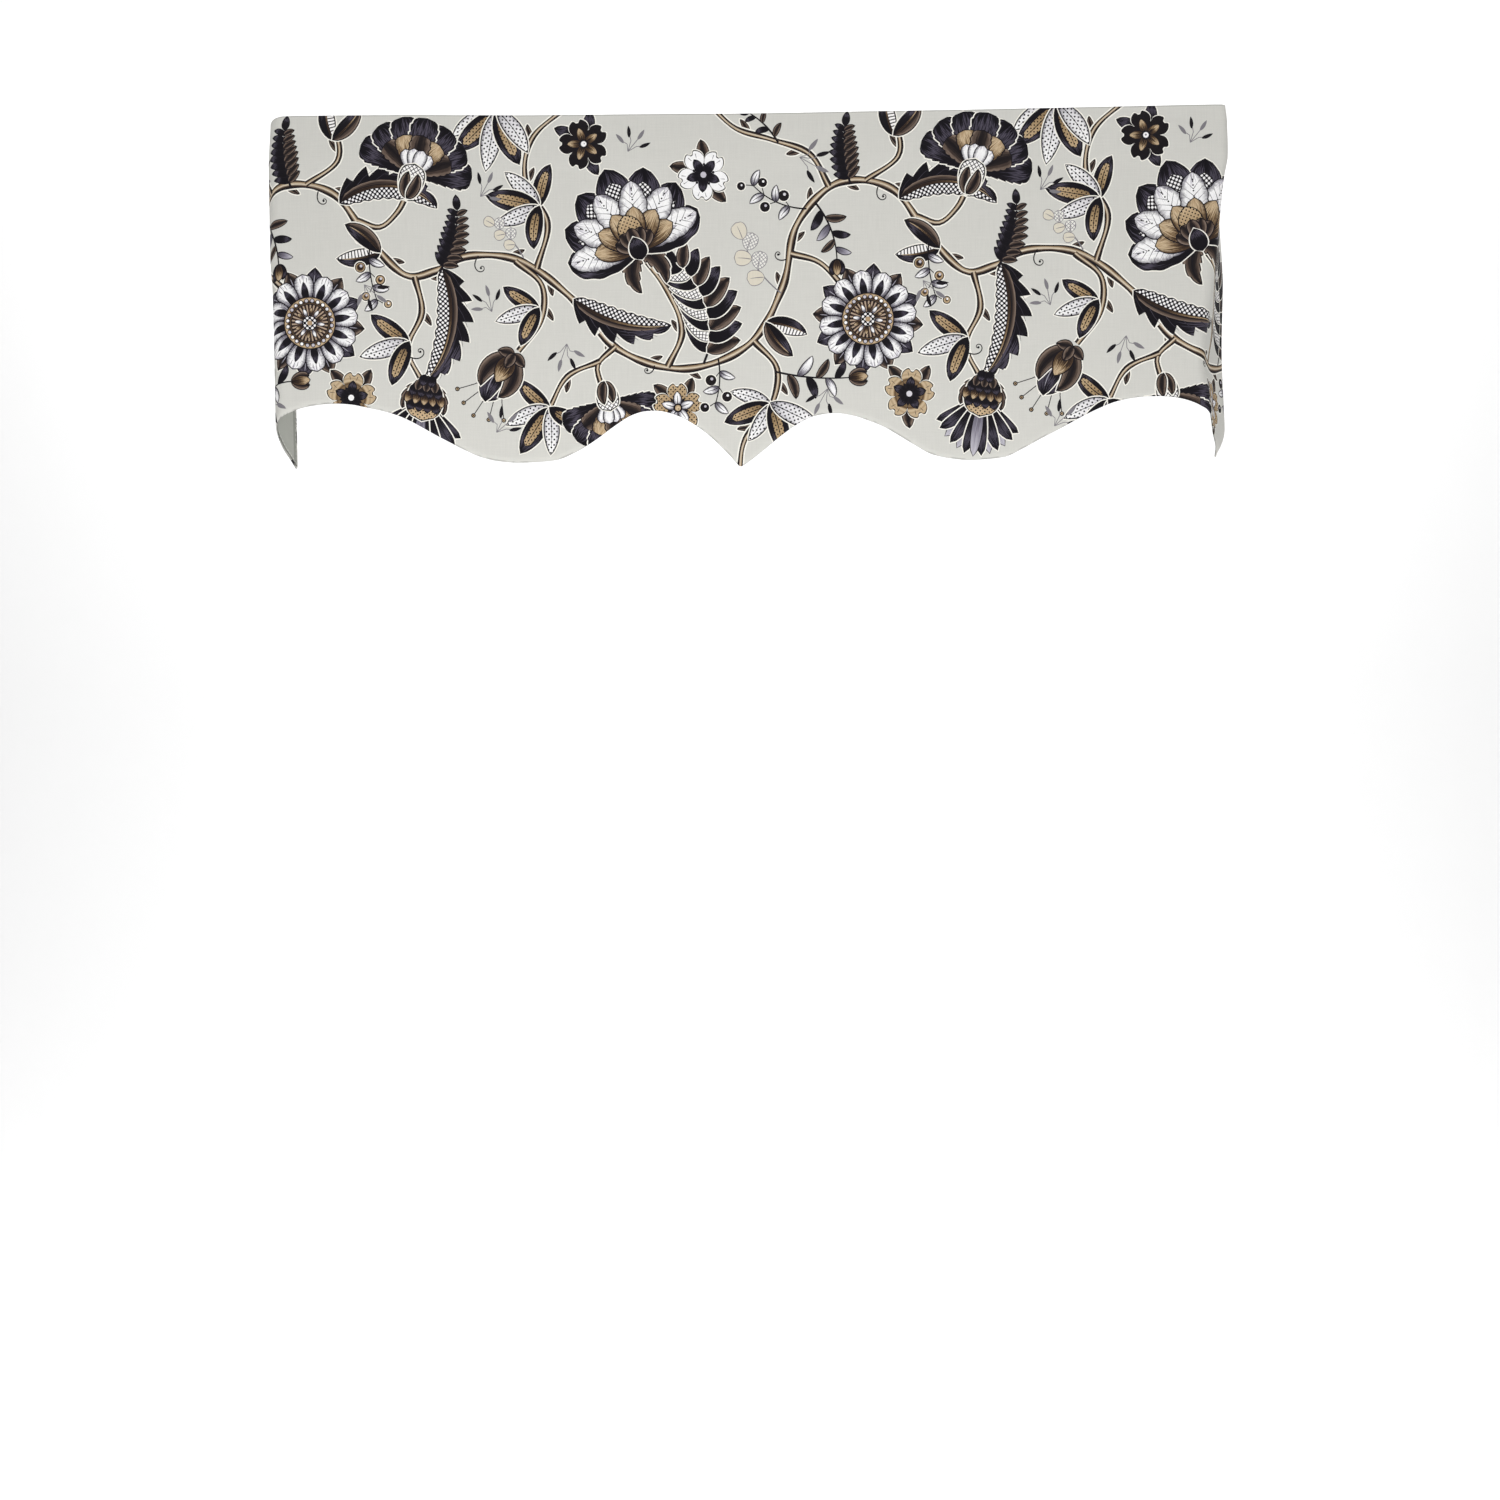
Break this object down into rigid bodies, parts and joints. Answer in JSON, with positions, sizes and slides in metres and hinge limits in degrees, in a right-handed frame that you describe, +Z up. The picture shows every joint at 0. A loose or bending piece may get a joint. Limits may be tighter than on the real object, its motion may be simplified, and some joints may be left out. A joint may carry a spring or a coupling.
{
  "type": "window valance",
  "caption": "Scalloped window valance of printed cotton over a plain lining, with short returns at both ends; hangs by its top edge to dress the head of a window.",
  "frame": {"origin": "middle of the top edge of the printed cloth, halfway through its thickness", "axes": "+X along the top edge, to the right as seen from the room; +Y back towards the wall, so the printed front faces -Y; +Z up"},
  "size_m": [1.1961, 0.0885, 0.4336],
  "materials": {
    "printed_cotton": "matte printed cotton with a fine weave",
    "lining_cotton": "matte plain cotton lining"
  },
  "bodies": {
    "root": {"valance_cloth": "printed_cotton", "valance_lining": "lining_cotton"}
  },
  "joints": []
}
